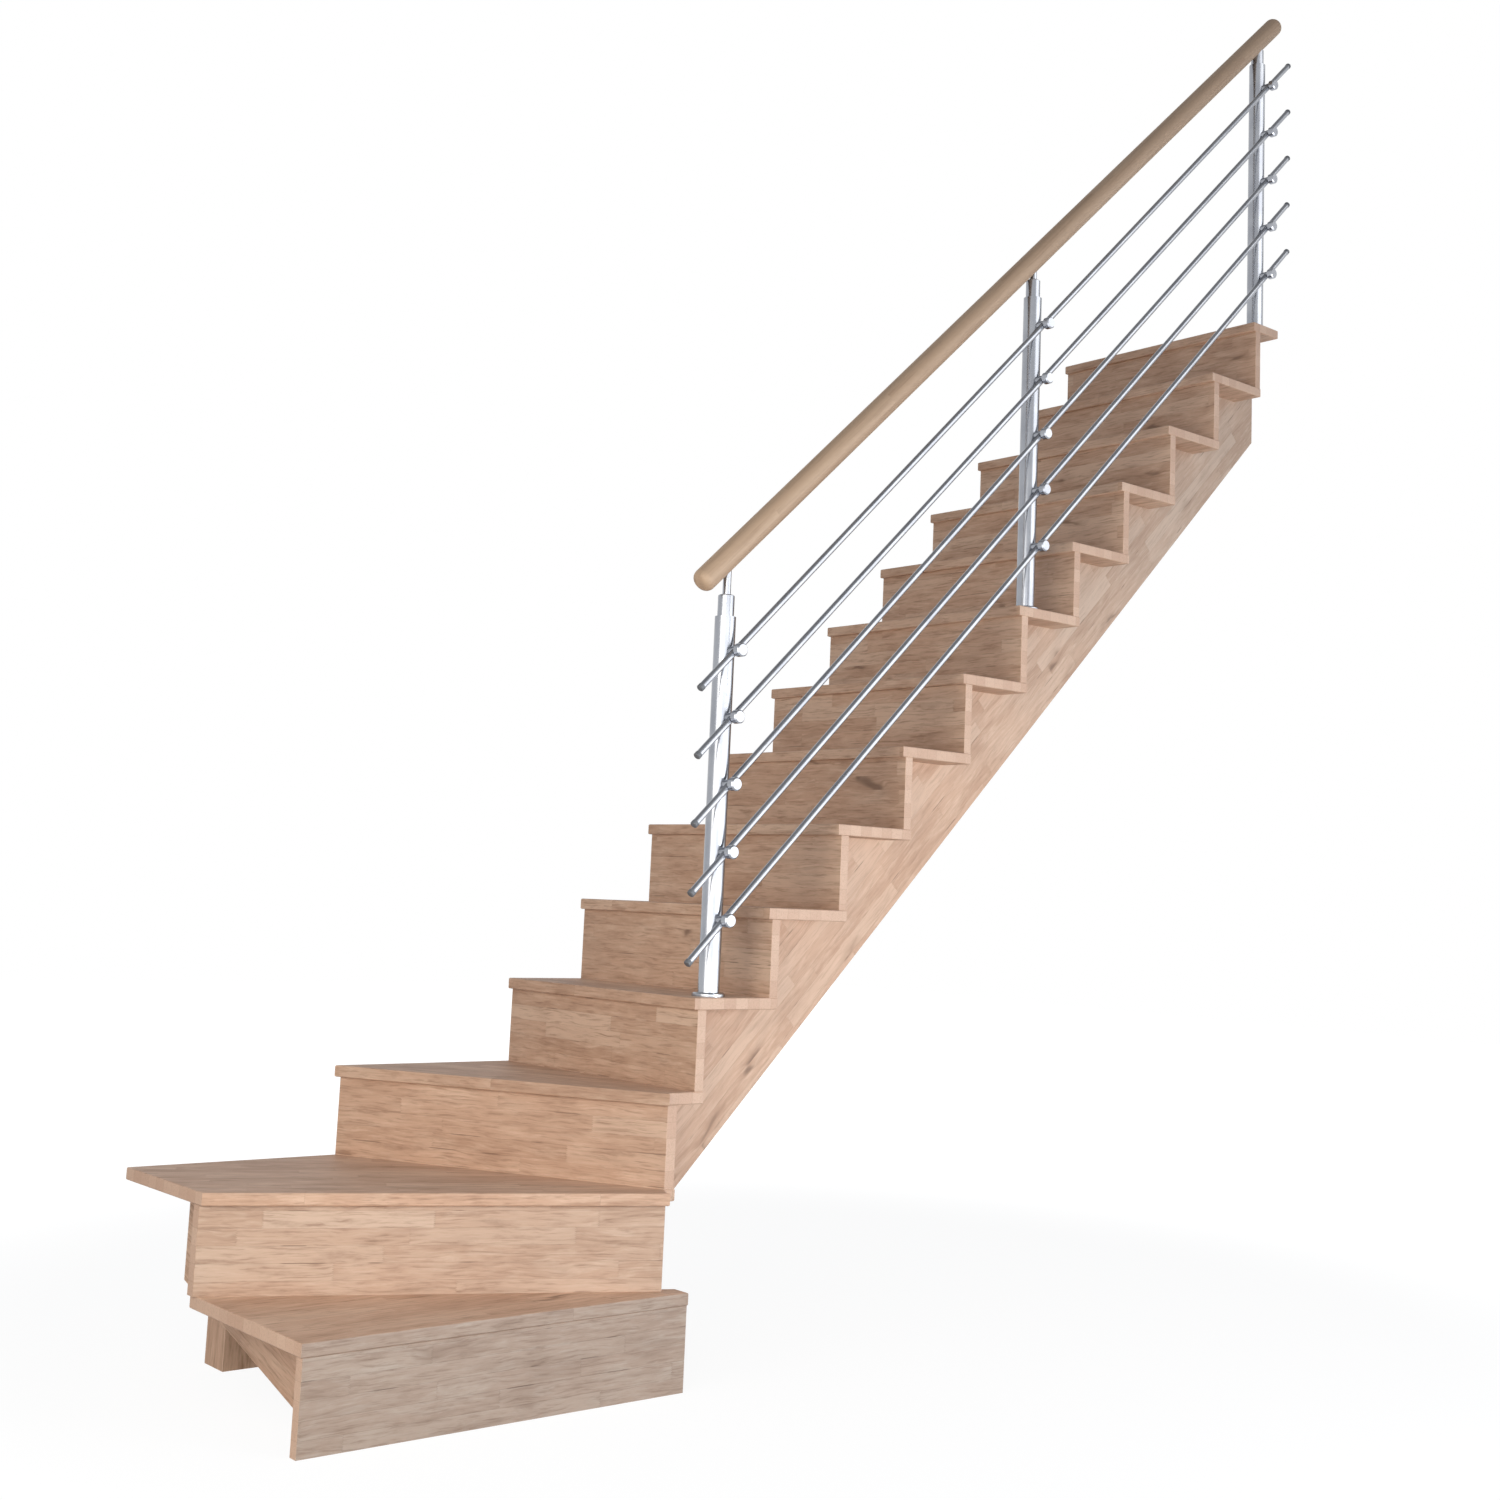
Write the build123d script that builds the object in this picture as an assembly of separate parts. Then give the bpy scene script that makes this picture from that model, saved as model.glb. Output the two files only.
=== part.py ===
import os
from math import atan2, cos, degrees, radians, sin

from build123d import *

# Quarter-turn staircase with closed risers, notched strings and a rod balustrade.
# +Z up, +X up the straight flight, +Y the walking direction at the entry.
# The origin lies on the floor in the middle of the foot of the first riser.

rise = 200.0
going = 204.0
step_count = 14
tread_thickness = 26.0
riser_thickness = 24.0
nosing = 11.0
tread_round = 3.0
riser_round = 1.5
riser_end_inset = 1.5
entry_riser_inset = 12.0
entry_tread_inset = 8.0
entry_nosing = 1.0

entry_width = 890.0
flight_width = 728.0
flight_near_y = 60.0
first_straight = 4
corner_from_entry_end = 40.0
corner_depth = 25.0
corner_facet = 22.0
first_nosing_from_corner = 81.0
top_tread_depth = 122.0
second_riser_angle = 25.5
third_riser_angle = 62.0

string_inset = 90.0
string_thickness = 60.0
string_drop = 455.0
outer_foot_length = 94.0
wall_level_z = 200.0
entry_string_inset = 106.0
entry_string_slope = 0.281
entry_foot_length = 61.0
leg_size = 86.0

post_diameter = 48.3
post_wall = 2.0
post_cap = 4.0
post_height = 850.0
post_from_nosing = 80.0
post_from_end = 53.5
post_steps = (4, 9, 14)
flange_diameter = 74.0
flange_thickness = 9.0
flange_edge = 3.0
sleeve_diameter = 38.0
sleeve_height = 50.0
sleeve_edge = 2.0
pin_diameter = 19.0
pin_in_sleeve = 35.0
fit_gap = 0.3

rod_diameter = 16.0
rod_count = 5
rod_above_tread = 168.0
rod_below_post_top = 80.0
rod_overhang_low = 92.0
rod_overhang_high = 98.0
rod_from_post = 42.0
holder_neck_diameter = 20.0
holder_head_diameter = 31.0
holder_head_length = 17.0
holder_head_from_rod = 1.0
holder_edge = 3.0
end_cap_rim = 0.6
end_cap_length = 10.0
end_cap_edge = 1.5

rail_diameter = 55.0
rail_above_post_low = 138.5
rail_above_post_high = 77.5
rail_overhang_low = 78.0
rail_overhang_high = 93.0
rail_round = 17.0

out_dir = "parts"
os.makedirs(out_dir, exist_ok=True)

entry_left_x = -entry_width / 2
entry_right_x = entry_width / 2
flight_far_y = flight_near_y + flight_width
corner_point = (entry_right_x - corner_from_entry_end, corner_depth)
flight_corner_x = corner_point[0] + corner_facet
slope = rise / going
rail_height_low = post_height + rail_above_post_low
rail_height_high = post_height + rail_above_post_high
rod_step = (post_height - rod_above_tread - rod_below_post_top) / (rod_count - 1)
rod_heights = [rod_above_tread + number * rod_step for number in range(rod_count)]


def save(shape, name):
    export_step(shape, os.path.join(out_dir, name + ".step"))


def nosing_x(step):
    return corner_point[0] + first_nosing_from_corner + (step - first_straight) * going


def riser_back_x(step):
    return nosing_x(step) + nosing + riser_thickness


def tread_top(step):
    return step * rise


def tread_under(step):
    return step * rise - tread_thickness


def prism(points, bottom, height):
    face = make_face(Polyline(*[(x, y, 0) for x, y in points], close=True))
    return extrude(face, height, dir=(0, 0, 1)).moved(Location((0, 0, bottom)))


class PlanLine:
    # a straight line in plan through a point, the walking side on its left normal

    def __init__(self, point, angle):
        self.point = point
        self.along = (cos(radians(angle)), sin(radians(angle)))
        self.angle = angle

    def shifted(self, distance):
        side = (self.along[1], -self.along[0])
        return PlanLine(
            (self.point[0] + side[0] * distance, self.point[1] + side[1] * distance),
            self.angle,
        )

    def at_x(self, x):
        step = (x - self.point[0]) / self.along[0]
        return (x, self.point[1] + self.along[1] * step)

    def at_y(self, y):
        step = (y - self.point[1]) / self.along[1]
        return (self.point[0] + self.along[0] * step, y)

    def cross(self, other):
        det = self.along[0] * other.along[1] - self.along[1] * other.along[0]
        dx = other.point[0] - self.point[0]
        dy = other.point[1] - self.point[1]
        step = (dx * other.along[1] - dy * other.along[0]) / det
        return (self.point[0] + self.along[0] * step, self.point[1] + self.along[1] * step)


landing_x = nosing_x(step_count) + top_tread_depth
corner_b = (flight_corner_x, flight_near_y)
facet_angle = degrees(atan2(corner_b[1] - corner_point[1], corner_b[0] - corner_point[0]))
facet = PlanLine(corner_point, facet_angle)
front_2 = PlanLine(corner_point, 180 - second_riser_angle)
front_3 = PlanLine(corner_b, 180 - third_riser_angle)
back_2 = front_2.shifted(riser_thickness)
back_3 = front_3.shifted(riser_thickness)
nose_2 = front_2.shifted(-nosing)
nose_3 = front_3.shifted(-nosing)

plans = {
    1: [
        (entry_left_x + entry_tread_inset, -riser_thickness / 2 - entry_nosing),
        (entry_right_x, -riser_thickness / 2 - entry_nosing),
        back_2.at_x(entry_right_x),
        back_2.at_x(entry_left_x + entry_tread_inset),
    ],
    2: [
        nose_2.at_x(entry_left_x),
        nose_2.at_x(corner_point[0]),
        corner_point,
        corner_b,
        back_3.at_y(flight_near_y),
        back_3.at_y(flight_far_y),
        (entry_left_x, flight_far_y),
    ],
    3: [
        nose_3.at_y(flight_far_y),
        nose_3.cross(facet),
        corner_b,
        (riser_back_x(4), flight_near_y),
        (riser_back_x(4), flight_far_y),
    ],
}
for step in range(first_straight, step_count):
    plans[step] = [
        (nosing_x(step), flight_near_y),
        (riser_back_x(step + 1), flight_near_y),
        (riser_back_x(step + 1), flight_far_y),
        (nosing_x(step), flight_far_y),
    ]
plans[step_count] = [
    (nosing_x(step_count), flight_near_y),
    (landing_x, flight_near_y),
    (landing_x, flight_far_y),
    (nosing_x(step_count), flight_far_y),
]


def tread(step):
    board = prism(plans[step], tread_under(step), tread_thickness)
    return fillet(board.edges().filter_by(Axis.Z, reverse=True), tread_round)


def riser(points, step):
    board = prism(points, tread_top(step - 1), rise - tread_thickness)
    return fillet(board.edges().filter_by(Axis.Z), riser_round)


for step in range(1, step_count + 1):
    save(tread(step), f"tread_{step:02d}")

facet_in = facet.shifted(-riser_end_inset)
riser_plans = {
    1: [
        (entry_left_x + entry_riser_inset, -riser_thickness / 2),
        (entry_right_x - riser_end_inset, -riser_thickness / 2),
        (entry_right_x - riser_end_inset, riser_thickness / 2),
        (entry_left_x + entry_riser_inset, riser_thickness / 2),
    ],
    2: [
        front_2.at_x(entry_left_x + riser_end_inset),
        front_2.cross(facet_in),
        back_2.cross(facet_in),
        back_2.at_x(entry_left_x + riser_end_inset),
    ],
    3: [
        front_3.at_y(flight_near_y + riser_end_inset),
        back_3.at_y(flight_near_y + riser_end_inset),
        back_3.at_y(flight_far_y - riser_end_inset),
        front_3.at_y(flight_far_y - riser_end_inset),
    ],
}
for step in range(first_straight, step_count + 1):
    face_x = nosing_x(step) + nosing
    riser_plans[step] = [
        (face_x, flight_near_y + riser_end_inset),
        (face_x + riser_thickness, flight_near_y + riser_end_inset),
        (face_x + riser_thickness, flight_far_y - riser_end_inset),
        (face_x, flight_far_y - riser_end_inset),
    ]
for step in range(1, step_count + 1):
    save(riser(riser_plans[step], step), f"riser_{step:02d}")


def string_lower_z(x):
    return tread_top(first_straight) + (x - nosing_x(first_straight)) * slope - string_drop


def string_lower_x(z):
    return nosing_x(first_straight) + (z + string_drop - tread_top(first_straight)) / slope


def upright(points, across, thickness, along_x=True):
    if along_x:
        wire = Polyline(*[(u, across, z) for u, z in points], close=True)
        return extrude(make_face(wire), thickness, dir=(0, 1, 0))
    wire = Polyline(*[(across, u, z) for u, z in points], close=True)
    return extrude(make_face(wire), thickness, dir=(1, 0, 0))


def stepped_top(low_x):
    points = [(landing_x, tread_under(step_count))]
    for step in range(step_count, first_straight - 1, -1):
        points.append((riser_back_x(step), tread_under(step)))
        points.append((riser_back_x(step), tread_under(step - 1)))
    points.append((low_x, tread_under(first_straight - 1)))
    return points


outer_y = flight_near_y + string_inset
outer_back_3 = back_3.at_y(outer_y)[0]
outer_back_2 = back_2.at_y(outer_y)[0]
outer_floor_x = string_lower_x(0)
outer_profile = stepped_top(outer_back_3) + [
    (outer_back_3, tread_under(2)),
    (outer_back_2, tread_under(2)),
    (outer_back_2, tread_under(1)),
    (outer_floor_x - outer_foot_length, tread_under(1)),
    (outer_floor_x - outer_foot_length, 0),
    (outer_floor_x, 0),
    (landing_x, string_lower_z(landing_x)),
]
save(upright(outer_profile, outer_y, string_thickness), "outer_string")

entry_outer_x = entry_left_x + entry_string_inset
leg_x = entry_outer_x + string_thickness
leg_far_y = flight_far_y - string_inset
leg_plan = [
    (leg_x, leg_far_y - leg_size),
    (leg_x + leg_size, leg_far_y - leg_size),
    (leg_x + leg_size, leg_far_y),
    (leg_x, leg_far_y),
]
save(prism(leg_plan, 0, tread_under(2)), "corner_leg")

wall_y = leg_far_y - string_thickness
wall_back_3 = back_3.at_y(wall_y)[0]
wall_level_x = string_lower_x(wall_level_z)
wall_profile = stepped_top(wall_back_3) + [
    (wall_back_3, tread_under(2)),
    (leg_x + leg_size, tread_under(2)),
    (leg_x + leg_size, wall_level_z),
    (wall_level_x, wall_level_z),
    (landing_x, string_lower_z(landing_x)),
]
save(upright(wall_profile, wall_y, string_thickness), "wall_string")

entry_front_y = riser_thickness / 2
entry_foot_y = entry_front_y + entry_foot_length
entry_back_2 = back_2.at_x(entry_outer_x)[1]
entry_profile = [
    (entry_front_y, 0),
    (entry_foot_y, 0),
    (leg_far_y, (leg_far_y - entry_foot_y) * entry_string_slope),
    (leg_far_y, tread_under(2)),
    (entry_back_2, tread_under(2)),
    (entry_back_2, tread_under(1)),
    (entry_front_y, tread_under(1)),
]
save(upright(entry_profile, entry_outer_x, string_thickness, along_x=False), "entry_string")

post_y = flight_near_y + post_from_end
post_places = [(nosing_x(step) + post_from_nosing, tread_top(step)) for step in post_steps]
post_first = post_places[0]
post_last = post_places[-1]


def upright_cylinder(x, y, bottom, diameter, height):
    return Cylinder(diameter / 2, height, align=(Align.CENTER, Align.CENTER, Align.MIN)).moved(
        Location((x, y, bottom))
    )


rail_rise = (post_last[1] + rail_height_high) - (post_first[1] + rail_height_low)
rail_run = post_last[0] - post_first[0]
rail_slope = rail_rise / rail_run


def slope_frame(x, y, z, tilt):
    # local Z runs up the slope
    return Plane(origin=(x, y, z), x_dir=(0, 1, 0), z_dir=(1, 0, tilt))


def slope_rod(x_low, x_high, y, z_low, tilt, diameter):
    length = (x_high - x_low) * (1 + tilt * tilt) ** 0.5
    bar = Cylinder(diameter / 2, length, align=(Align.CENTER, Align.CENTER, Align.MIN))
    return slope_frame(x_low, y, z_low, tilt) * bar


rail_low_x = post_first[0] - rail_overhang_low
rail_high_x = post_last[0] + rail_overhang_high
rail_low_z = post_first[1] + rail_height_low - rail_overhang_low * rail_slope
rail_bar = slope_rod(rail_low_x, rail_high_x, post_y, rail_low_z, rail_slope, rail_diameter)
rail = fillet(rail_bar.edges().filter_by(GeomType.CIRCLE), rail_round)
posts = []
flanges = []
sleeves = []
pins = []
for x, z in post_places:
    tube = upright_cylinder(x, post_y, z, post_diameter, post_height)
    hollow = upright_cylinder(x, post_y, z, post_diameter - 2 * post_wall, post_height - post_cap)
    posts.append(tube - hollow)
    disc = upright_cylinder(x, post_y, z, flange_diameter, flange_thickness)
    disc = chamfer(disc.edges().group_by(Axis.Z)[-1], flange_edge)
    flanges.append(disc - upright_cylinder(x, post_y, z, post_diameter + fit_gap, flange_thickness))
    sleeve_bottom = z + post_height
    pin_bottom = sleeve_bottom + sleeve_height - pin_in_sleeve
    pin_top = post_first[1] + rail_height_low + (x - post_first[0]) * rail_slope
    pin_length = pin_top - pin_bottom
    pin_bore = upright_cylinder(x, post_y, pin_bottom, pin_diameter + fit_gap, pin_length)
    sleeve = upright_cylinder(x, post_y, sleeve_bottom, sleeve_diameter, sleeve_height)
    sleeve = chamfer(sleeve.edges().group_by(Axis.Z)[-1], sleeve_edge)
    sleeves.append(sleeve - rail_bar - pin_bore)
    pins.append(upright_cylinder(x, post_y, pin_bottom, pin_diameter, pin_length))
    rail -= pin_bore
save(Compound(children=posts), "posts")
save(Compound(children=flanges), "post_flanges")
save(Compound(children=sleeves), "post_sleeves")
save(Compound(children=pins), "rail_pins")
save(rail, "handrail")

rod_y = post_y - rod_from_post
rod_low_x = post_first[0] - rod_overhang_low
rod_high_x = post_last[0] + rod_overhang_high
caps = []
for number, height in enumerate(rod_heights, 1):
    low_z = post_first[1] + height - rod_overhang_low * slope
    rod = slope_rod(rod_low_x, rod_high_x, rod_y, low_z, slope, rod_diameter)
    save(rod, f"rod_{number}")
    cap = Cylinder(
        rod_diameter / 2 + end_cap_rim,
        end_cap_length,
        align=(Align.CENTER, Align.CENTER, Align.MIN),
    )
    cap = chamfer(cap.edges().group_by(Axis.Z)[-1], end_cap_edge)
    high_z = low_z + (rod_high_x - rod_low_x) * slope
    caps.append(slope_frame(rod_high_x, rod_y, high_z, slope) * cap)
    caps.append(
        Plane(origin=(rod_low_x, rod_y, low_z), x_dir=(0, 1, 0), z_dir=(-1, 0, -slope)) * cap
    )
save(Compound(children=caps), "rod_end_caps")

holder_head_start = rod_from_post + rod_diameter / 2 + holder_head_from_rod
holder_reach = holder_head_start + holder_head_length


def turned(diameter, start, end):
    # a round stage of a holder, its axis pointing out from the post along -Y
    stage = Cylinder(diameter / 2, end - start, align=(Align.CENTER, Align.CENTER, Align.MIN))
    return stage.moved(Location((0, 0, start)))


head = turned(holder_head_diameter, holder_head_start, holder_reach)
head = chamfer(head.edges().group_by(Axis.Z)[-1], holder_edge)
holder_blank = turned(holder_neck_diameter, 0, holder_head_start) + head
holders = []
for x, z in post_places:
    for height in rod_heights:
        out = Plane(origin=(x, post_y, z + height), x_dir=(1, 0, 0), z_dir=(0, -1, 0))
        bore = slope_rod(
            x - holder_head_diameter,
            x + holder_head_diameter,
            rod_y,
            z + height - holder_head_diameter * slope,
            slope,
            rod_diameter + fit_gap,
        )
        post = upright_cylinder(x, post_y, z, post_diameter, post_height)
        holders.append(out * holder_blank - post - bore)
save(Compound(children=holders), "rod_holders")
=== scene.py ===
import math

import bpy
from mathutils import Matrix, Vector

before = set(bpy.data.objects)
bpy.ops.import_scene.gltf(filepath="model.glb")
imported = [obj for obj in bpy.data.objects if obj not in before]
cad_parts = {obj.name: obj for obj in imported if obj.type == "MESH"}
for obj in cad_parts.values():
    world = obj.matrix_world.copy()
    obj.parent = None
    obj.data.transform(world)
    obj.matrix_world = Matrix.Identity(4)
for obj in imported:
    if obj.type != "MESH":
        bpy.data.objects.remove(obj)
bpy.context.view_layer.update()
up = (0, 0, 1)
white = (1.0, 1.0, 1.0)
print("frame loaded:", len(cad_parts), "pieces")


# a shader socket that Python operators can work with
class Val:
    def __init__(self, graph, socket):
        self.graph = graph
        self.socket = socket

    def math(self, operation, *others):
        return self.graph.node("ShaderNodeMath", {"operation": operation}, self, *others)

    def after(self, operation, first):
        return self.graph.node("ShaderNodeMath", {"operation": operation}, first, self)

    def __add__(self, other): return self.math("ADD", other)
    def __radd__(self, other): return self.math("ADD", other)
    def __sub__(self, other): return self.math("SUBTRACT", other)
    def __rsub__(self, other): return self.after("SUBTRACT", other)
    def __mul__(self, other): return self.math("MULTIPLY", other)
    def __rmul__(self, other): return self.math("MULTIPLY", other)
    def __truediv__(self, other): return self.math("DIVIDE", other)
    def __rtruediv__(self, other): return self.after("DIVIDE", other)
    def __abs__(self): return self.math("ABSOLUTE")
    def __lt__(self, other): return self.math("LESS_THAN", other)
    def floor(self): return self.math("FLOOR")
    def fract(self): return self.math("FRACT")
    def least(self, other): return self.math("MINIMUM", other)
    def most(self, other): return self.math("MAXIMUM", other)

    def smooth(self, low, high):
        settings = {"interpolation_type": "SMOOTHSTEP"}
        return self.graph.node("ShaderNodeMapRange", settings, self, low, high, 0.0, 1.0)

    def band(self, low, high, share):
        return self.smooth(low, high) * share


class Graph:
    def __init__(self, tree):
        self.nodes = tree.nodes
        self.links = tree.links
        self.nodes.clear()

    def node(self, kind, settings=None, *values, output=0, **named):
        made = self.nodes.new(kind)
        for key, value in (settings or {}).items():
            if key == "stops":
                ramp = made.color_ramp
                while len(ramp.elements) < len(value):
                    ramp.elements.new(0.5)
                for element, (place, tone) in zip(ramp.elements, value):
                    element.position = place
                    element.color = (*tone, 1.0)
            else:
                setattr(made, key, value)
        pairs = list(enumerate(values)) + [(key.replace("_", " "), value) for key, value in named.items()]
        for key, value in pairs:
            socket = made.inputs[key]
            if isinstance(value, Val):
                self.links.new(value.socket, socket)
            elif value is not None:
                socket.default_value = (*value, 1.0) if socket.type == "RGBA" else value
        return Val(self, made.outputs[output]) if made.outputs else None

    def place(self):
        return self.node("ShaderNodeTexCoord", output="Object")

    def facing(self):
        return self.node("ShaderNodeNewGeometry", output="Normal")

    def dot(self, vector, axis):
        settings = {"operation": "DOT_PRODUCT"}
        return self.node("ShaderNodeVectorMath", settings, vector, tuple(axis), output="Value")

    def join(self, x, y, z):
        return self.node("ShaderNodeCombineXYZ", None, x, y, z)

    def noise(self, vector, scale=1.0, detail=3.0, roughness=0.55):
        return self.node("ShaderNodeTexNoise", {"noise_dimensions": "3D"}, Vector=vector, Scale=scale,
                         Detail=detail, Roughness=roughness)

    def fibre(self, spot, waves, shift=(0.0, 0.0, 0.0), detail=3.0, roughness=0.55):
        # noise drawn out along the first direction, shifted so that no two blocks are alike
        length, width = waves
        parts = [way * count + move for way, count, move in zip(spot, (length, width, width), shift)]
        return self.noise(self.join(*parts), 1.0, detail, roughness)

    def chance(self, x, y, z):
        return self.node("ShaderNodeTexWhiteNoise", {"noise_dimensions": "3D"}, Vector=self.join(x, y, z),
                         output="Value")

    def tones(self, factor, stops):
        return self.node("ShaderNodeValToRGB", {"stops": stops}, factor)

    def blend(self, factor, first, second, how="MIX"):
        settings = {"data_type": "RGBA", "blend_type": how}
        otherTypes = [None] * 5
        return self.node("ShaderNodeMix", settings, factor, *otherTypes, first, second, output=2)

    def seenDirect(self):
        # 1 where the camera, a gloss or a glass ray looks straight at it
        kinds = ("Camera", "Glossy", "Transmission")
        path = [self.node("ShaderNodeLightPath", output=f"Is {kind} Ray") for kind in kinds]
        return path[0].most(path[1]).most(path[2])


def finish(name, build):
    # a material whose function gives colour, roughness, relief and other values
    material = bpy.data.materials.new(name)
    material.use_nodes = True
    graph = Graph(material.node_tree)
    look = build(graph)
    normal = graph.node("ShaderNodeBump", None, Strength=1.0, Distance=look["depth"], Height=look["relief"])
    shader = graph.node("ShaderNodeBsdfPrincipled", None, Base_Color=look["tone"], Roughness=look["rough"],
                        Metallic=look.get("metallic", 0.0), Normal=normal)
    graph.node("ShaderNodeOutputMaterial", None, shader)
    return material


def colour(red, green, blue):
    # eye colours from 0 to 255 turned into the renderer's linear values
    return tuple(((c / 255 + 0.055) / 1.055) ** 2.4 for c in (red, green, blue))


stripLook = {
    "stripWidth": 0.034,
    "shortBlock": 0.25,
    "longBlock": 0.70,
    "toothPitch": 0.004,
    "toothLength": 0.009,
    "stepHeight": 0.2,
    "faceTurn": (0.55, 0.8),
    "knotSpacing": (0.24, 0.068),
    "knotShare": 0.55,
    "knotHalo": (0.34, 0.06),
    "knotCore": (0.15, 0.03),
    "haloTint": 0.45,
    "coreTint": 0.7,
    "swayBend": 0.02,
    "knotBend": 0.007,
    # waves per metre along and across the fibre
    "grain": {
        "sway": (7.0, 16.0), "wave": (2.0, 40.0), "broad": (4.0, 85.0), "lines": (15.0, 210.0),
        "fine": (26.0, 620.0), "mottle": (11.0, 44.0), "drift": (5.0, 14.0),
    },
    # where a noise begins to show, where it shows in full, and how strongly
    "lightGrain": {"mottle": (0.5, 0.3, 0.6), "lines": (0.48, 0.3, 0.45), "drift": (0.48, 0.3, 0.5)},
    "darkGrain": {
        "mottle": (0.52, 0.76, 0.36), "broad": (0.5, 0.75, 0.3), "lines": (0.5, 0.7, 0.42),
        "drift": (0.52, 0.72, 0.22),
    },
    "pores": (0.6, 0.78, 0.26),
    "streakShare": 1.25,
    "streakMost": 0.9,
    "ringWaves": 55.0,
    "ringCount": 9.0,
    "ringLine": (0.5, 0.95, 0.2),
    "endPores": 0.4,
    "glueLine": 0.0008,
    "glueTint": 0.2,
    "dashWaves": 9.0,
    "openDash": {"reach": (0.0018, 0.0004), "where": (0.58, 0.66), "tint": 0.5},
    "paleDash": {"reach": (0.0036, 0.001), "where": (0.42, 0.35), "tint": 0.5},
    "frontTurn": (0.3, 0.8),
    "rough": 0.52,
    "fineRough": 0.18,
    "glueRough": 0.1,
    "depth": 0.0003,
    "pale": colour(220, 187, 161),
    "rose": colour(207, 170, 143),
    "mid": colour(203, 165, 138),
    "deep": colour(196, 158, 131),
    "streak": colour(158, 121, 96),
    "heart": colour(108, 79, 60),
    "endPale": colour(214, 181, 157),
    "endDeep": colour(200, 164, 140),
}


def stripWood(name, along, across, seed, lift=None, paintedShade=None, above=None, look=stripLook):
    # lift tells stacked boards apart by their height, faded is painted shade: a cool grey multiplied onto
    # the face that looks to the entry, above gives the heights between which this painted shade sets in
    along = Vector(along).normalized()
    across = Vector(across).normalized()
    through = along.cross(across)

    def build(g):
        here = g.place()
        u, v, w = (g.dot(here, axis) for axis in (along, across, through))
        height = g.dot(here, up)
        board = seed
        if lift is not None:
            board = ((height + lift) / look["stepHeight"]).floor() + seed
        endFace = abs(g.dot(g.facing(), along)).smooth(*look["faceTurn"])
        sideFace = 1.0 - endFace
        broadFace = abs(g.dot(g.facing(), across)).smooth(*reversed(look["faceTurn"])) * sideFace

        # strips glued side by side, each of blocks with toothed joints
        rowRaw = v / look["stripWidth"] + g.chance(board, 3.0, 7.0)
        row = rowRaw.floor()
        blockSpread = look["longBlock"] - look["shortBlock"]
        blockLength = g.chance(row, board, 1.0) * blockSpread + look["shortBlock"]
        tooth = abs((v / look["toothPitch"]).fract() - 0.5) * look["toothLength"]
        blockRaw = (u + tooth) / blockLength + g.chance(row, board, 2.0) * 7.0
        block = blockRaw.floor()
        pick = g.chance(block, row, board)
        twist = g.chance(row, block, board + 40.0)

        # knots in some places, with the grain bent round them
        waves = look["grain"]
        sway = g.fibre((u, v, w), waves["sway"], (pick * 3.0, 0.0, board), 2.0)
        knotLength, knotWidth = look["knotSpacing"]
        knotSpot = g.join(u / knotLength + sway, v / knotWidth + sway * 1.5, board * 3.7)
        knot, cell = (
            g.node("ShaderNodeTexVoronoi", {"feature": "F1"}, Vector=knotSpot, Scale=1.0, output=output)
            for output in ("Distance", "Position")
        )
        luck = g.node("ShaderNodeTexWhiteNoise", {"noise_dimensions": "3D"}, Vector=cell, output="Value")
        knotted = (luck < look["knotShare"]) * sideFace
        halo = knot.smooth(*look["knotHalo"]) * knotted
        core = knot.smooth(*look["knotCore"]) * knotted
        bent = v + sway * look["swayBend"] + halo * look["knotBend"]

        # grain runs along each block and breaks at its joints
        spot = (u, bent, w)
        wave = g.fibre(spot, waves["wave"], (pick * 31.0, twist * 17.0, pick * 5.0))
        broad = g.fibre(spot, waves["broad"], (twist * 9.0, wave * 2.0, pick * 3.0))
        lines = g.fibre(spot, waves["lines"], (pick * 7.0, wave * 3.0, 0.0), 3.0, 0.6)
        mottle = g.fibre(spot, waves["mottle"], (pick * 4.0, 0.0, twist * 5.0), 4.0, 0.62)
        fine = g.fibre((u, v, w), waves["fine"], (pick * 13.0, 0.0, 0.0), 2.0)
        drift = g.fibre((u, v, w), waves["drift"], (0.0, 0.0, board * 2.3), 2.0)
        grain = {"mottle": mottle, "broad": broad, "lines": lines, "drift": drift}
        light = sum(grain[kind].band(*limits) for kind, limits in look["lightGrain"].items())
        dark = sum(grain[kind].band(*limits) for kind, limits in look["darkGrain"].items())
        pores = fine.band(*look["pores"])
        bodyTones = zip((0.0, 0.3, 0.7, 1.0), ("deep", "mid", "rose", "pale"))
        face = g.tones(pick, [(place, look[tone]) for place, tone in bodyTones])
        face = g.blend(light.least(1.0), face, look["pale"])
        face = g.blend((dark * look["streakShare"]).least(look["streakMost"]), face, look["streak"])
        face = g.blend(pores, face, look["heart"])
        face = g.blend(halo * look["haloTint"], face, look["streak"])
        face = g.blend(core * look["coreTint"], face, look["heart"])

        # end faces show the rings of each strip
        ringSpot = (v * look["ringWaves"] + twist * 9.0, w * look["ringWaves"] + row * 3.3, board)
        ring = g.noise(g.join(*ringSpot), 1.0, 2.0, 0.5)
        ringLine = (ring * look["ringCount"]).fract().band(*look["ringLine"])
        endTone = g.blend(g.chance(row, board, 9.0), look["endPale"], look["endDeep"])
        endTone = g.blend(ringLine + pores * look["endPores"], endTone, look["streak"])
        tone = g.blend(endFace, face, endTone)

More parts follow.
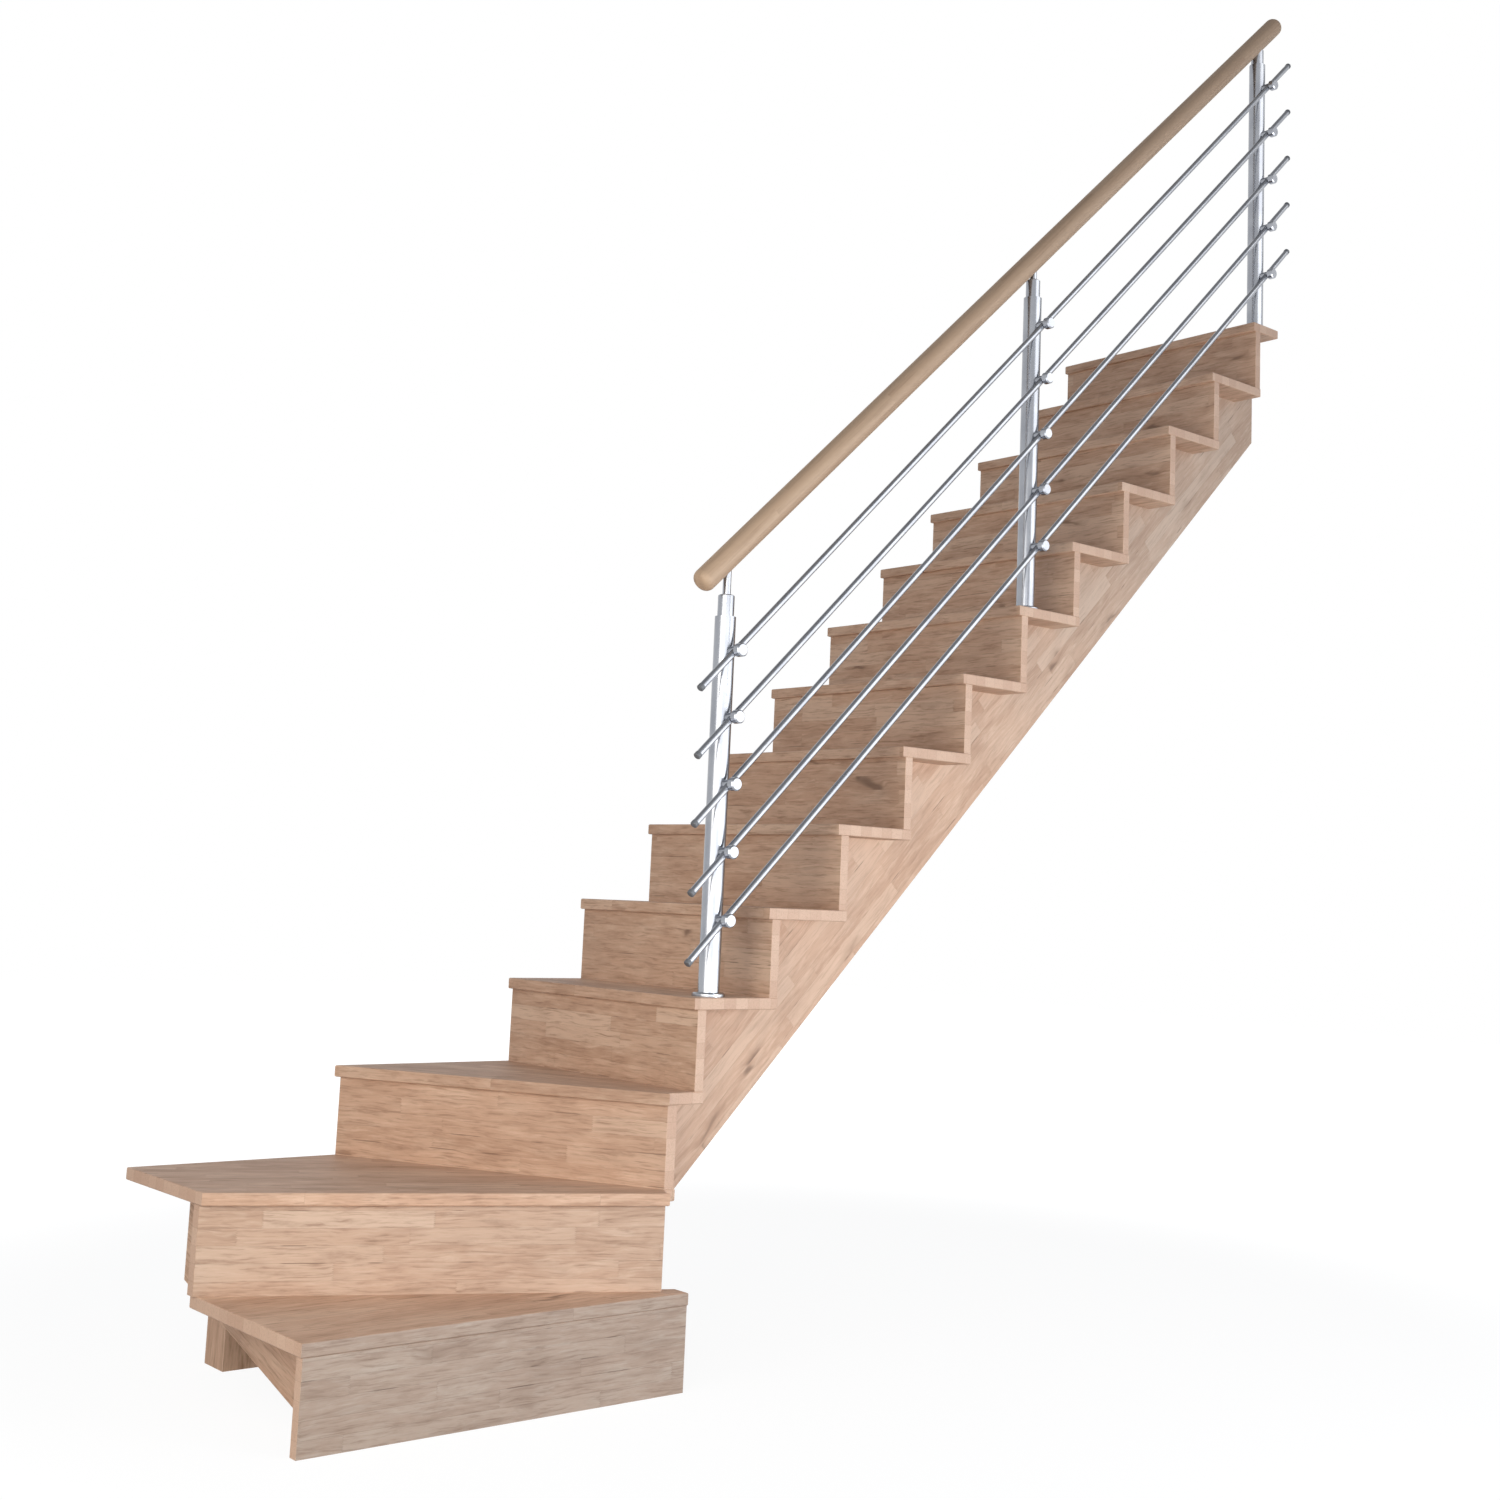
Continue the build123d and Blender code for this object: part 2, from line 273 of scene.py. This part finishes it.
        # glue lines between strips and at the joints, here open and dark, there filled and pale
        edge = rowRaw.fract()
        fromEdge = edge.least(1.0 - edge) * look["stripWidth"]
        end = blockRaw.fract()
        fromEnd = end.least(1.0 - end) * blockLength
        line = 1.0 - fromEdge.least(fromEnd + endFace).smooth(0.0, look["glueLine"])
        dash = g.noise(g.join(u * look["dashWaves"], (rowRaw + 0.5).floor() * 5.1, board), 1.0, 2.0)
        openDash, paleDash = (
            fromEdge.smooth(*kind["reach"]) * dash.smooth(*kind["where"]) * broadFace
            for kind in (look["openDash"], look["paleDash"])
        )
        tone = g.blend(line * look["glueTint"], tone, look["heart"])
        tone = g.blend(paleDash * look["paleDash"]["tint"], tone, look["pale"])
        tone = g.blend(openDash * look["openDash"]["tint"], tone, look["heart"])
        # painted shade: faces that look to the entry are darkened and cooled where the light falls dimmer
        # and cooler, on the string only higher up
        if paintedShade:
            front = g.dot(g.facing(), (0, -1, 0)).smooth(*look["frontTurn"])
            if above:
                front = front * height.smooth(*above)
            tone = g.blend(front, tone, g.blend(1.0, tone, paintedShade, "MULTIPLY"))
        return {
            "tone": tone,
            "rough": look["rough"] + fine * look["fineRough"] + line * look["glueRough"],
            "relief": lines * 0.4 + fine * 0.5 - line * 0.7 - pores - openDash,
            "depth": look["depth"],
        }

    return finish(name, build)


railLook = {
    "honey": colour(194, 165, 137),
    "straw": colour(184, 154, 126),
    "brown": colour(150, 119, 94),
    "blockLength": 0.5,
    "lamella": 0.0265,
    "grainWaves": (3.0, 90.0),
    "grainLine": (0.46, 0.72, 0.4),
    "fleckWaves": (9.0, 170.0),
    "fleckLine": (0.6, 0.8, 0.25),
    "rough": 0.55,
    "grainRough": 0.1,
    "depth": 0.00003,
}


def railWood(name, along, look=railLook):
    along = Vector(along).normalized()
    side = Vector((0, 1, 0))
    over = along.cross(side)

    def build(g):
        here = g.place()
        u, v, w = (g.dot(here, axis) for axis in (along, side, over))
        lamella = (w / look["lamella"]).floor()
        block = (u / look["blockLength"] + g.chance(lamella, 2.0, 5.0) * 5.0).floor()
        pick = g.chance(block, lamella, 3.0)
        grain = g.fibre((u, v, w), look["grainWaves"], (pick * 11.0, 0.0, 0.0))
        fleck = g.fibre((u, v, w), look["fleckWaves"], detail=1.0, roughness=0.5)
        tone = g.blend(pick, look["straw"], look["honey"])
        tone = g.blend(grain.band(*look["grainLine"]), tone, look["brown"])
        tone = g.blend(fleck.band(*look["fleckLine"]), tone, look["brown"])
        rough = look["rough"] + grain * look["grainRough"]
        return {"tone": tone, "rough": rough, "relief": grain, "depth": look["depth"]}

    return finish(name, build)


steelLook = {
    "tone": colour(166, 169, 175),
    "shade": colour(146, 149, 157),
    "brushWaves": (6.0, 1500.0),
    "brushShade": 0.3,
    "cloudWaves": 14.0,
    "cloudShade": (0.35, 0.7, 0.6),
    "rough": 0.15,
    "brushRough": 0.1,
    "cloudRough": 0.1,
    "depth": 0.00003,
}


def brushedSteel(name, along, look=steelLook):
    along = Vector(along).normalized()
    side = along.orthogonal().normalized()
    over = along.cross(side)

    def build(g):
        here = g.place()
        spot = [g.dot(here, axis) for axis in (along, side, over)]
        brush = g.fibre(spot, look["brushWaves"], detail=2.0, roughness=0.6)
        cloud = g.noise(here, look["cloudWaves"], 3.0, 0.5)
        shade = cloud.band(*look["cloudShade"]) + brush * look["brushShade"]
        tone = g.blend(shade, look["tone"], look["shade"])
        rough = look["rough"] + brush * look["brushRough"] + cloud * look["cloudRough"]
        return {"tone": tone, "rough": rough, "relief": brush, "depth": look["depth"], "metallic": 1.0}

    return finish(name, build)


capLook = {
    "dark": colour(84, 86, 90),
    "worn": colour(116, 119, 124),
    "gritWaves": 900.0,
    "rough": 0.45,
    "gritRough": 0.2,
    "depth": 0.0001,
}


def capPlastic(name, look=capLook):
    def build(g):
        grit = g.noise(g.place(), look["gritWaves"], 2.0, 0.6)
        tone = g.blend(grit, look["dark"], look["worn"])
        rough = look["rough"] + grit * look["gritRough"]
        return {"tone": tone, "rough": rough, "relief": grit, "depth": look["depth"]}

    return finish(name, build)


# board directions, the same angles as the solids
winder = {"second": math.radians(25.5), "third": math.radians(62.0)}
slope = 200.0 / 204.0
entrySlope = 0.281
railRun = (2.04, 0, 1.939)
along2 = (-math.cos(winder["second"]), math.sin(winder["second"]), 0)
along3 = (-math.cos(winder["third"]), math.sin(winder["third"]), 0)


def planSide(along):
    return (-along[1], along[0], 0)


onTreads = 0.03
onRisers = 0.01
# painted shade tints, multiplied into the faces that look to the entry to stand in for cooler, dimmer light
# there
entryPaintedShade = (0.66, 0.76, 0.86)
secondPaintedShade = (0.88, 0.93, 0.97)
upperPaintedShade = (0.88, 0.96, 1.03)
paintedShadeHeights = (1.2, 2.1)
stringLook = {**stripLook, "streakShare": 0.65}
woods = {
    "treadStraight": stripWood("tread strips", (0, 1, 0), (1, 0, 0), 1, onTreads),
    "treadEntry": stripWood("first tread strips", (1, 0, 0), (0, 1, 0), 2, onTreads, entryPaintedShade),
    "treadKite": stripWood("kite tread strips", along2, planSide(along2), 3, onTreads),
    "treadTaper": stripWood("taper tread strips", along3, planSide(along3), 4, onTreads),
    "riserStraight": stripWood("riser strips", (0, 1, 0), up, 5, onRisers),
    "riserEntry": stripWood("first riser strips", (1, 0, 0), up, 6, onRisers, entryPaintedShade),
    "riserSecond": stripWood("second riser strips", along2, up, 7, onRisers, secondPaintedShade),
    "riserThird": stripWood("third riser strips", along3, up, 8, onRisers),
    "string": stripWood("string strips", (1, 0, slope), (-slope, 0, 1), 9, paintedShade=upperPaintedShade,
                        above=paintedShadeHeights, look=stringLook),
    "entryString": stripWood("entry string strips", (0, 1, entrySlope), (0, -entrySlope, 1), 10),
    "leg": stripWood("leg strips", up, (0, 1, 0), 11),
}
rail = railWood("handrail beech", railRun)
postSteel = brushedSteel("post steel", up)
rodSteel = brushedSteel("rod steel", (1, 0, slope))
holderSteel = brushedSteel("holder steel", (0, 1, 0))
cap = capPlastic("rod end cap")

coat = {
    "tread_01": woods["treadEntry"], "tread_02": woods["treadKite"], "tread_03": woods["treadTaper"],
    "riser_01": woods["riserEntry"], "riser_02": woods["riserSecond"], "riser_03": woods["riserThird"],
    "outer_string": woods["string"], "wall_string": woods["string"], "entry_string": woods["entryString"],
    "corner_leg": woods["leg"], "handrail": rail, "posts": postSteel, "post_flanges": postSteel,
    "post_sleeves": postSteel, "rail_pins": postSteel, "rod_holders": holderSteel, "rod_end_caps": cap,
}
for step in range(4, 15):
    coat[f"tread_{step:02d}"] = woods["treadStraight"]
    coat[f"riser_{step:02d}"] = woods["riserStraight"]
for number in range(1, 6):
    coat[f"rod_{number}"] = rodSteel
for node, material in coat.items():
    data = bpy.data.objects[node].data
    data.materials.clear()
    data.materials.append(material)
print("finishes set:", len(coat))


# camera at the viewing angle of the picture
view = {
    "focal": 1869.6, "centre": (753.1, 660.6), "size": 1500,
    "yaw": 49.53, "pitch": 7.23, "roll": 2.50, "spot": (-2.109, -3.125, 1.020),
}


def makeCamera(view):
    yaw, pitch, roll = (math.radians(view[key]) for key in ("yaw", "pitch", "roll"))
    ahead = Vector((math.cos(yaw) * math.cos(pitch), math.sin(yaw) * math.cos(pitch), math.sin(pitch)))
    right = Vector((math.sin(yaw), -math.cos(yaw), 0))
    top = right.cross(ahead)
    rolled = math.cos(roll) * right + math.sin(roll) * top
    top = math.cos(roll) * top - math.sin(roll) * right
    data = bpy.data.cameras.new("camera")
    data.sensor_fit = "HORIZONTAL"
    data.sensor_width = 36.0
    data.lens = view["focal"] / view["size"] * data.sensor_width
    data.shift_x = 0.5 - view["centre"][0] / view["size"]
    data.shift_y = view["centre"][1] / view["size"] - 0.5
    data.clip_end = 100.0
    camera = bpy.data.objects.new("camera", data)
    turn = Matrix((rolled, top, -ahead)).transposed().to_4x4()
    camera.matrix_world = Matrix.Translation(view["spot"]) @ turn
    bpy.context.scene.collection.objects.link(camera)
    bpy.context.scene.camera = camera


makeCamera(view)

lamps = {
    "right": {
        "spot": (1.5, -3.1, 0.75), "aim": (1.2, 0.1, 1.0), "size": (1.5, 1.4), "power": 69.0,
        "tint": (0.97, 1.0, 1.04), "matt": True,
    },
    "left": {
        "spot": (-2.3, -1.15, 1.5), "aim": (0.9, 0.4, 1.3), "size": (2.6, 2.4), "power": 59.0,
        "tint": (1.06, 1.0, 0.9), "matt": True,
    },
    "card": {
        "spot": (3.1, -2.5, 2.6), "aim": (1.6, 0.1, 2.6), "size": (3.0, 4.8), "power": 90.0,
        "tint": white, "matt": False,
    },
    "lowCard": {
        "spot": (-0.85, -1.5, 1.1), "aim": (-0.85, 0.0, 1.1), "size": (3.3, 2.1), "power": 40.0,
        "tint": white, "matt": False,
    },
}
for name, lamp in lamps.items():
    data = bpy.data.lights.new(name, "AREA")
    data.shape = "RECTANGLE"
    data.size, data.size_y = lamp["size"]
    data.energy = lamp["power"]
    data.color = lamp["tint"]
    light = bpy.data.objects.new(name, data)
    aim = Vector(lamp["aim"]) - Vector(lamp["spot"])
    light.matrix_world = Matrix.Translation(lamp["spot"]) @ aim.to_track_quat("-Z", "Y").to_matrix().to_4x4()
    light.visible_camera = False
    light.visible_diffuse = lamp["matt"]  # the cards only give the steel its bright stripes
    bpy.context.scene.collection.objects.link(light)


studio = {
    "ambient": 0.29,
    "ambientTone": (0.9, 0.98, 1.13),
    "skyFrom": 0.5,
    "skyTo": 0.9,
    "zenith": (0.4, 0.4, 0.4),
    "floorReach": 14.0,
    "floorTone": (0.55, 0.55, 0.55),
    "floorWhite": 0.81,
    "floorGlow": 1.14,
    "middle": (1.0, 0.4, 0.0),
    "fadeFrom": 1.6,
    "fadeTo": 3.6,
}


def makeWorld(studio):
    world = bpy.data.worlds.new("studio")
    bpy.context.scene.world = world
    world.use_nodes = True
    g = Graph(world.node_tree)
    # white all round and greyer overhead, as a room is
    height = g.dot(g.node("ShaderNodeTexCoord", output="Generated"), up)
    sky = g.tones(height, [(studio["skyFrom"], white), (studio["skyTo"], studio["zenith"])])
    soft = g.node("ShaderNodeBackground", None, studio["ambientTone"], studio["ambient"])
    bright = g.node("ShaderNodeBackground", None, sky, 1.0)
    mixed = g.node("ShaderNodeMixShader", None, g.seenDirect(), soft, bright)
    g.node("ShaderNodeOutputWorld", None, mixed)


def makeFloor(studio):
    reach = studio["floorReach"]
    corners = [(-reach, -reach, 0), (reach, -reach, 0), (reach, reach, 0), (-reach, reach, 0)]
    mesh = bpy.data.meshes.new("floor")
    mesh.from_pydata(corners, [], [(0, 1, 2, 3)])
    floor = bpy.data.objects.new("floor", mesh)
    bpy.context.scene.collection.objects.link(floor)
    material = bpy.data.materials.new("floor white")
    material.use_nodes = True
    g = Graph(material.node_tree)
    matt = g.node("ShaderNodeBsdfDiffuse", None, studio["floorTone"])
    glow = g.node("ShaderNodeEmission", None, white, studio["floorGlow"])
    # the floor turns to plain white away from the object
    span = {"operation": "DISTANCE"}
    away = g.node("ShaderNodeVectorMath", span, g.place(), studio["middle"], output="Value")
    fade = away.smooth(studio["fadeFrom"], studio["fadeTo"])
    share = fade * (1.0 - studio["floorWhite"]) + studio["floorWhite"]
    mixed = g.node("ShaderNodeMixShader", None, g.seenDirect() * share, matt, glow)
    g.node("ShaderNodeOutputMaterial", None, mixed)
    mesh.materials.append(material)


makeWorld(studio)
makeFloor(studio)
bpy.context.scene.view_settings.view_transform = "Standard"
print("stage set")
